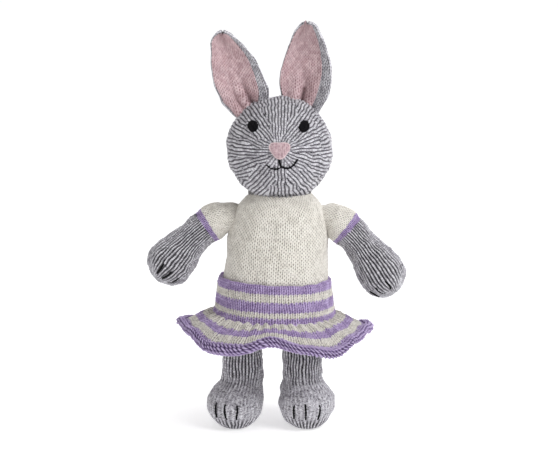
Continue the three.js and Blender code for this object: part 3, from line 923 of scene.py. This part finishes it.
def make_arm(side):
    line = ArmLine(side)
    number = 0 if side == "right" else 1
    body = f"{side}_arm"
    form, wale_at, course_at = arm_part(line, SLEEVE_START, SLEEVE_END, 32, 16, 5)
    form.raised(0.5 * lumps(form.points, 15, 60 + number))
    knit(form, SOFT, wale_at, course_at, seed=61 + number, wander=0.1)
    made = to_object(f"{side}_sleeve_knit", form, cream_knit)
    place_piece(made, "cream_knit", body, f"{side}_sleeve", fill=0.8)
    low, high = SLEEVE_END - BAND_LAP, BAND_END + BAND_LAP
    form, wale_at, course_at = arm_part(line, low, high, 32, 2, 6)
    form.raised(0.5 * lumps(form.points, 15, 60 + number))
    knit(form, OPEN, wale_at, course_at, seed=65 + number, wander=0.1, strength=0.7)
    made = to_object(f"{side}_cuff_band_knit", form, lilac_knit)
    place_piece(made, "lilac_knit", body, f"{side}_cuff_band")
    form, wale_at, course_at = arm_part(line, BAND_END, line.length - 0.02, 42, 44, 5)
    form.raised(0.5 * lumps(form.points, 15, 60 + number) + 0.25 * lumps(form.points, 9, 68))
    knit(form, CORD, wale_at, course_at, seed=71 + number, wander=0.12)
    # Towards the paw's tip the painted shade between the stitches fades.
    tip_shade_fade = 0.8 * smooth(28, 38, course_at)
    ridge = form.values["ridge"]
    form.values["ridge"] = mix(ridge, np.maximum(ridge, 0.55), tip_shade_fade)
    paw = to_object(f"{side}_paw_knit", form, grey_knit)
    place_piece(paw, "grey_knit", body, f"{side}_paw_cover", fill=0.9)
    lay_stitches(paw, body, [f"{side}_{which}_finger_stitch" for which in WHICH])


WHICH = ("outer", "middle", "inner")


def vertex_values(mesh, key):
    values = np.zeros(len(mesh.vertices) * 3)
    mesh.vertices.foreach_get(key, values)
    return values.reshape(-1, 3)


def lay_stitches(made, body, nodes):
    """A black thread for each CAD stitch, along its length and on the knitted surface."""
    tree = surface_of(made)
    for node in nodes:
        points = vertex_values(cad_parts[node].data, "co") / MM
        centre = points.mean(0)
        direction = np.linalg.svd(points - centre, full_matrices=False)[2][0]
        reach = (points - centre) @ direction
        path = []
        for share in np.linspace(-0.96, 0.96, 7):
            aim = centre + direction * share * np.abs(reach).max()
            near, normal = tree.find_nearest(Vector(aim * MM))[:2]
            lift = 1.0 if abs(share) < 0.9 else -0.3
            path.append(np.array(near) / MM + np.array(normal) * lift)
        path = np.array(path)
        for _ in range(4):
            path[1:-1] = (path[:-2] + 2 * path[1:-1] + path[2:]) / 4
        form = strand(path, 0.85, count=30, twist=2.0)
        place_piece(to_object(f"{node}_thread", form, black_thread), "black_thread", body, node)


make_arm("right")
make_arm("left")


# ---------- skirt
# The skirt's waves: their number, how far out they go, and how its hem hangs at each of them, at
# the sides, all round and at the back. All grow from nothing at the gathers.
SKIRT = {"x": -0.4, "deep_top": 0.86, "deep_hem": 0.9, "lobes": 5, "lobe": 3.0, "tilt": 0.03}
HANG = {"wave": 5.5, "side": 3.7, "low": 1.5, "back": 9.0}
FRILL = {"top": 100.5, "start": 51.0, "hem": 81.0, "hem_z": 87.0, "roll": 3.9}
SKIRT_WALES = 76
YOKE_STATIONS = [
    (41.5, 124), (43.0, 129.0), (45.0, 131.4), (47.2, 131.8), (48.5, 130.0), (48.8, 127),
    (49.2, 123), (50.0, 117), (50.9, 110), (52.0, 104), (53.2, 100), (54.2, 97.4),
    (51.4, 96.6), (47.5, 100), (45.0, 112),
]
STRIPE_LEVELS = (124.4, 118.2, 110.6, 104.8)  # where the yoke turns from lilac to cream and back


def skirt_bend(angle, radius, height):
    """The skirt's waves: nothing at the gathers, and largest at the hem."""
    flare = np.clip((radius - FRILL["start"]) / (FRILL["hem"] - FRILL["start"]), 0, 1.2)
    wave = -np.cos(SKIRT["lobes"] * angle) * flare
    facing = np.cos(angle)
    behind = smooth(-0.1, 1, -facing)
    grown = radius + SKIRT["lobe"] * wave * (1 - 2 * behind)
    deep = mix(SKIRT["deep_top"], SKIRT["deep_hem"], flare)
    hang = flare * (HANG["side"] * np.sin(angle) ** 4 - HANG["low"]) - HANG["wave"] * wave * facing ** 2
    hang = hang - HANG["back"] * flare * behind
    x = SKIRT["x"] + grown * np.sin(angle)
    return tilted(np.stack([x, -grown * facing * deep, height + hang], axis=-1))


def tilted(points):
    """The skirt sits a little lower on the toy's left."""
    points[..., 2] -= SKIRT["tilt"] * points[..., 0]
    return points


def ripple(angle):
    """The small rise and fall along the hem."""
    return np.cos(13 * angle + 0.7)


def striped(lilac):
    """Gives the colour share of a course, from a list that says which courses are lilac."""
    return lambda course: lilac[np.clip(course, 0, len(lilac) - 1).astype(int)].astype(float)


def make_yoke():
    profile = spline(YOKE_STATIONS, 300)

    def place(turn, rise):
        radius, z = at_share(profile, rise)
        angle = turn * FULL_TURN
        x = SKIRT["x"] + radius * np.sin(angle)
        return tilted(np.stack([x, -radius * np.cos(angle) * SKIRT["deep_top"], z], axis=-1))

    courses = 30
    form, wale_at, course_at = turned_grid(place, SKIRT_WALES, courses, 7, 5)
    heights = at_share(profile, (np.arange(courses) + 0.5) / courses)[1]
    lilac = (heights[:, None] < STRIPE_LEVELS).sum(axis=1) % 2 == 0
    form.raised(0.5 * lumps(form.points, 20, 81))
    knit(form, OPEN, wale_at, course_at, seed=82, wander=0.1, stripes=striped(lilac))
    made = to_object("skirt_yoke_knit", form, striped_knit)
    place_piece(made, "cream_knit", "torso", "skirt_yoke")


LIFT = ((0, -41, 100), (0, -53, 100))  # two points at the skirt's front, given to bend_piece


def skirt_piece(made, slot, part):
    nodes = (f"skirt_{part}_front", f"skirt_{part}_back")
    bend_piece(made, slot, ("torso", "skirt_front"), *LIFT, *nodes)


def make_frill():
    """The gathered part of the skirt and its rolled hem."""
    edge = FRILL["hem"] - FRILL["roll"] * 0.5
    courses = 13

    def place(turn, rise):
        # Out along the top face, then back along the under face.
        out = np.where(rise < 0.5, rise * 2, (1 - rise) * 2)
        under = smooth(0.44, 0.56, rise)
        radius = mix(FRILL["start"], edge, out)
        z = mix(FRILL["top"], FRILL["hem_z"] + 0.5, out ** 1.5) - 2.2 * under
        angle = turn * FULL_TURN
        gathers = (1 - smooth(0.1, 0.75, out)) * smooth(0.0, 0.16, out)
        folds = np.cos(42 * angle + 1.5 * np.sin(5 * angle)) * 1.3 * gathers
        return skirt_bend(angle, radius, z + folds + ripple(angle) * smooth(0.2, 1, out))

    form, wale_at, course_at = turned_grid(place, 112, courses * 2, 6, 5)
    lilac = np.array([0, 0, 0, 0, 0, 1, 1, 1, 0, 0, 0, 1, 1])
    stripes = striped(np.concatenate([lilac, lilac[::-1]]))
    form.raised(0.3 * lumps(form.points, 12, 85))
    knit(form, OPEN, wale_at, course_at, seed=86, wander=0.12, stripes=stripes)
    made = to_object("skirt_frill_knit", form, striped_knit)
    skirt_piece(made, "cream_knit", "frill")
    hem = make_hem()


def make_hem():
    """The hem rolls up and shows the knitting's purl side: short slanting bars of yarn."""
    bars, ridges = 150, 8
    turn, round_ = np.meshgrid(np.arange(bars * 8) / (bars * 8), np.arange(ridges * 7) / (ridges * 7))
    angle, section = turn * FULL_TURN, round_ * FULL_TURN
    roll = FRILL["roll"] + 0.4 * np.cos(3 * angle + 1) + 0.3 * np.cos(11 * angle)
    radius = FRILL["hem"] + roll * np.cos(section)
    z = FRILL["hem_z"] + ripple(angle) + roll * np.sin(section)
    form = tube_form(skirt_bend(angle, radius, z), wrap_rows=True)
    wander = 0.14
    wale_at = (turn * bars + 1.1 * round_ * ridges).ravel() + wander * lumps(form.points, 12, 91)
    course_at = (round_ * ridges).ravel() + wander * lumps(form.points, 14, 92)
    row = np.floor(course_at)
    shifted = wale_at + 0.5 * (row % 2)
    bump_across = np.abs(np.sin(math.pi * shifted)) ** 1.1
    bump_along = np.abs(np.sin(math.pi * course_at)) ** 0.4
    height = bump_across * bump_along * (0.8 + 0.3 * scatter(np.floor(shifted), row))
    form.raised((height - 0.6) * 2.2)
    # The bars' height also sets the painted shade between them, in the lilac knit.
    form.values["ridge"] = np.clip(1.25 * height, 0, 1) ** 1.3
    form.values["tone"] = scatter(row, np.floor(shifted))
    made = to_object("skirt_hem_knit", form, lilac_knit)
    skirt_piece(made, "lilac_knit", "hem")
    return made


make_yoke()
make_frill()


# ---------- legs
HIP = {"right": (-28.4, 17.2, -6.4), "left": (23.7, 16.8, 4.0)}
HIP_Z = 80.0
FOOT = {"radius": 24.4, "longer": 1.18, "forward": 4.0}
FOOT_STATIONS = [(-5.2, 43), (-2.2, 49), (-0.2, 56), (-0.4, 64), (-3.4, 71), (-8.6, 77)]
LEG_WALES = 38


def leg_profile(radius):
    """Radius and distance below the hip: a round top, a straight leg and a ball of a foot."""
    turns = np.radians(np.arange(4, 91, 6))
    places = [(radius * math.sin(turn), -radius * math.cos(turn)) for turn in turns]
    places += [(radius + height * 0.01, height) for height in (7, 13, 20, 26, 32, 37)]
    places += [(FOOT["radius"] + grow, height) for grow, height in FOOT_STATIONS]
    places += [(12.5, 79.4), (8.0, HIP_Z), (3.0, HIP_Z)]
    return spline(places, 500)


def make_leg(side):
    x, radius, shift = HIP[side]
    number = 0 if side == "right" else 1
    profile = leg_profile(radius)

    def place(turn, rise):
        width, height = at_share(profile, rise)
        foot = smooth(34, 56, height)
        angle = turn * FULL_TURN
        ahead = width * np.cos(angle) * mix(1, FOOT["longer"], foot) + FOOT["forward"] * foot
        across = x + width * np.sin(angle) + shift * foot
        return np.stack([across, -ahead, HIP_Z - height], axis=-1)

    form, wale_at, course_at = turned_grid(place, LEG_WALES, 50, 9, 5)
    z = form.points[:, 2]
    form.soften(4)
    form.raised(0.6 * lumps(form.points, 17, 101 + number) * smooth(1, 6, z) - 1.1 * smooth(60, 76, z))
    foot = 1 - smooth(36, 50, z + 3 * lumps(form.points, 8, 106))
    calm = mix(1.0, 0.5, foot) * smooth(0.0, 4, z) * mix(1.0, 0.5, smooth(66, 78, z))
    knit(form, CORD, wale_at, course_at, seed=103 + number, wander=0.14, strength=calm)
    mottled = 0.24 * lumps(form.points, 2.2, 107) + 0.3 * lumps(form.points, 1.2, 108)
    speckle = np.clip(0.82 + mottled, 0, 1)
    form.values["ridge"] = mix(form.values["ridge"], speckle, 0.8 * foot * smooth(6, 14, z))
    form.points[:, 2] = np.maximum(form.points[:, 2], 0.0)
    made = to_object(f"{side}_leg_knit", form, grey_knit)
    place_piece(made, "grey_knit", f"{side}_leg", f"{side}_leg_cover", fill=0.9)
    lay_stitches(made, f"{side}_leg", [f"{side}_{which}_toe_stitch" for which in WHICH])


make_leg("right")
make_leg("left")


# ---------- stuffing
def make_fibrefill(node, body, seed):
    """A lump of fibrefill a little smaller than its CAD solid, hidden inside its cover."""
    copy = shown(f"{node}_fibre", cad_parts[node].data.copy())
    remesh = copy.modifiers.new("remesh", "REMESH")
    remesh.mode = "VOXEL"
    remesh.voxel_size = 2.4 * MM
    evaluated = copy.evaluated_get(bpy.context.evaluated_depsgraph_get())
    mesh = bpy.data.meshes.new_from_object(evaluated)
    copy.modifiers.clear()
    copy.data = mesh
    points = vertex_values(mesh, "co") / MM
    normals = vertex_values(mesh, "normal")
    sunk = -0.9 + 0.5 * lumps(points, 9, seed) + 0.3 * lumps(points, 4, seed + 1)
    points = points + normals * np.minimum(sunk, 0.2)[:, None]
    mesh.vertices.foreach_set("co", (points * MM).astype(np.float32).ravel())
    mesh.polygons.foreach_set("use_smooth", np.ones(len(mesh.polygons), bool))
    mesh.materials.clear()
    mesh.materials.append(fibrefill)
    mesh.update()
    place_piece(copy, "fibrefill", body, node, fill=0.8)


def make_stuffing():
    bodies = {"torso_stuffing": "torso", "head_stuffing": "head"}
    for side in ("right", "left"):
        bodies[f"{side}_shoulder_wad"] = f"{side}_shoulder"
        bodies[f"{side}_arm_stuffing"] = f"{side}_arm"
        bodies[f"{side}_leg_stuffing"] = f"{side}_leg"
    for number, (node, body) in enumerate(bodies.items()):
        make_fibrefill(node, body, 120 + number)


make_stuffing()


# ---------- floor and light
def make_floor():
    """A pale sweep: a flat floor that turns up into a wall behind."""
    half_width, front, back, height, bend = 6.0, -4.0, 3.0, 5.0, 1.2
    line = [(front, 0.0), (back - bend, 0.0)]
    for step in range(1, 13):
        turn = step / 12 * math.pi / 2
        line.append((back - bend + bend * math.sin(turn), bend - bend * math.cos(turn)))
    line.append((back, height))
    vertices = [(x, y, z) for y, z in line for x in (-half_width, half_width)]
    faces = [(2 * i, 2 * i + 1, 2 * i + 3, 2 * i + 2) for i in range(len(line) - 1)]
    mesh = bpy.data.meshes.new("floor")
    mesh.from_pydata(vertices, [], faces)
    mesh.polygons.foreach_set("use_smooth", np.ones(len(faces), bool))
    nodes = Nodes("floor_paper")
    grain = nodes.noise(60, 4.0)
    color = nodes.ramp(grain, [(0.3, (0.86, 0.86, 0.86, 1)), (0.7, (0.88, 0.88, 0.88, 1))])
    mesh.materials.append(nodes.finish(color, 0.9, glow=0.45))
    shown("floor", mesh)


def add_light(name, place, target, size, power, color=(1, 1, 1)):
    data = bpy.data.lights.new(name, "AREA")
    data.size = size
    data.energy = power
    data.color = color
    light = shown(name, data)
    light.location = place
    aim = Vector(target) - Vector(place)
    light.rotation_euler = aim.to_track_quat("-Z", "Y").to_euler()


def make_light():
    world = bpy.data.worlds.new("studio")
    bpy.context.scene.world = world
    world.use_nodes = True
    background = world.node_tree.nodes["Background"]
    background.inputs["Color"].default_value = WHITE
    background.inputs["Strength"].default_value = 0.36
    middle = (0, 0, 0.17)
    add_light("key", (1.3, -1.1, 1.5), middle, 0.9, 28, (0.99, 0.995, 1.0))
    add_light("fill", (-1.3, -1.0, 0.9), middle, 1.2, 3, (1.0, 0.96, 0.91))
    add_light("top", (0.3, 0.5, 1.8), middle, 1.2, 8)
    bpy.context.scene.view_settings.view_transform = "Standard"


make_floor()
make_light()
